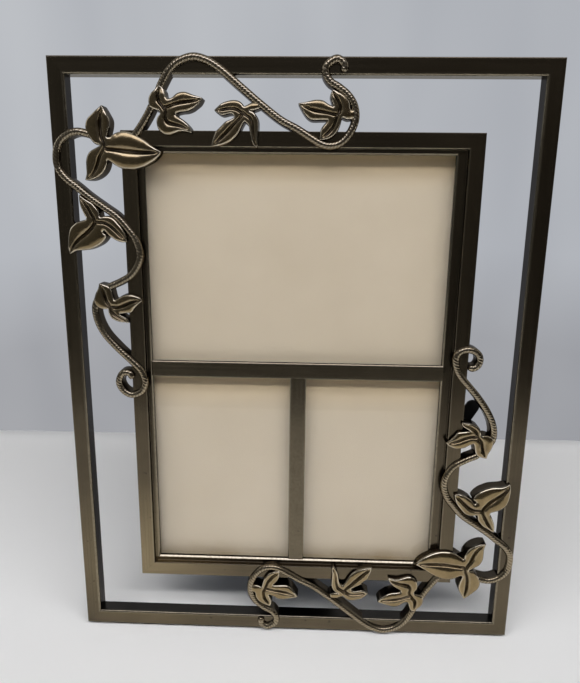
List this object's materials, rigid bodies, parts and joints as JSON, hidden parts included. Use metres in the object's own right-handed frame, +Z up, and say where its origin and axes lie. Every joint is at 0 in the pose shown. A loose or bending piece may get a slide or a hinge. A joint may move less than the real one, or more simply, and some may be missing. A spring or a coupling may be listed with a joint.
{
  "type": "collage picture frame",
  "caption": "Tabletop metal collage photo frame: open bar frame and windowed inner frame joined by leafy vine castings, with glass, velvet back, turn buttons and folding easel leg.",
  "frame": {"origin": "on the standing surface, under the middle of the whole object's box", "axes": "+Z up, the glass faces -Y and the easel leg stands out towards +Y, +X to the right seen from the front"},
  "size_m": [0.1906, 0.0966, 0.2357],
  "materials": {
    "bar_bronze": "satin antique bronze plating, brushed lengthwise",
    "vine_brass": "antiqued cast brass, bright on the raised edges and dark in the recesses",
    "glass": "clear",
    "insert_paper": "plain cream sheet",
    "velvet": "black velvet over board",
    "hinge_steel": "satin plated steel",
    "clip_black": "black lacquer"
  },
  "bodies": {
    "frame": {"outer_rail_top": "bar_bronze", "outer_rail_bottom": "bar_bronze", "outer_stile_left": "bar_bronze", "outer_stile_right": "bar_bronze", "inner_rail_top": "bar_bronze", "inner_rail_bottom": "bar_bronze", "inner_stile_left": "bar_bronze", "inner_stile_right": "bar_bronze", "divider_horizontal": "bar_bronze", "divider_vertical": "bar_bronze", "upper_vine_stem_across": "vine_brass", "upper_vine_stem_down": "vine_brass", "upper_vine_corner_leaf": "vine_brass", "upper_vine_leaf_a": "vine_brass", "upper_vine_leaf_b": "vine_brass", "upper_vine_leaf_c": "vine_brass", "upper_vine_leaf_d": "vine_brass", "upper_vine_leaf_e": "vine_brass", "lower_vine_stem_across": "vine_brass", "lower_vine_stem_down": "vine_brass", "lower_vine_corner_leaf": "vine_brass", "lower_vine_leaf_a": "vine_brass", "lower_vine_leaf_b": "vine_brass", "lower_vine_leaf_c": "vine_brass", "lower_vine_leaf_d": "vine_brass", "lower_vine_leaf_e": "vine_brass", "glass_pane": "glass", "display_insert": "insert_paper", "backing_board": "velvet", "hinge_leaf_fixed": "hinge_steel", "hinge_pin": "hinge_steel", "hinge_rivet_left": "hinge_steel", "hinge_rivet_right": "hinge_steel", "turn_button_rivet_left_upper": "clip_black", "turn_button_rivet_left_lower": "clip_black", "turn_button_rivet_right_upper": "clip_black", "turn_button_rivet_right_lower": "clip_black"},
    "easel": {"easel_leg": "velvet", "hinge_leaf_moving": "hinge_steel", "leg_rivet_left": "hinge_steel", "leg_rivet_right": "hinge_steel"},
    "clip_left_upper": {"turn_button_left_upper": "clip_black"},
    "clip_left_lower": {"turn_button_left_lower": "clip_black"},
    "clip_right_upper": {"turn_button_right_upper": "clip_black"},
    "clip_right_lower": {"turn_button_right_lower": "clip_black"}
  },
  "joints": [
    {"name": "easel_hinge", "type": "hinge", "parent": "frame", "child": "easel", "pos_m": [0, 0.00808, 0.15322], "axis": [1, 0, 0], "range_deg": [-29.5, 0]},
    {"name": "turn_button_left_upper_swivel", "type": "hinge", "parent": "frame", "child": "clip_left_upper", "pos_m": [-0.0664, 0.00276, 0.14533], "axis": [0, -0.9659, 0.2588], "continuous": true},
    {"name": "turn_button_left_lower_swivel", "type": "hinge", "parent": "frame", "child": "clip_left_lower", "pos_m": [-0.0664, -0.01329, 0.08544], "axis": [0, -0.9659, 0.2588], "continuous": true},
    {"name": "turn_button_right_upper_swivel", "type": "hinge", "parent": "frame", "child": "clip_right_upper", "pos_m": [0.0664, 0.00276, 0.14533], "axis": [0, -0.9659, 0.2588], "continuous": true},
    {"name": "turn_button_right_lower_swivel", "type": "hinge", "parent": "frame", "child": "clip_right_lower", "pos_m": [0.0664, -0.01329, 0.08544], "axis": [0, -0.9659, 0.2588], "continuous": true}
  ]
}
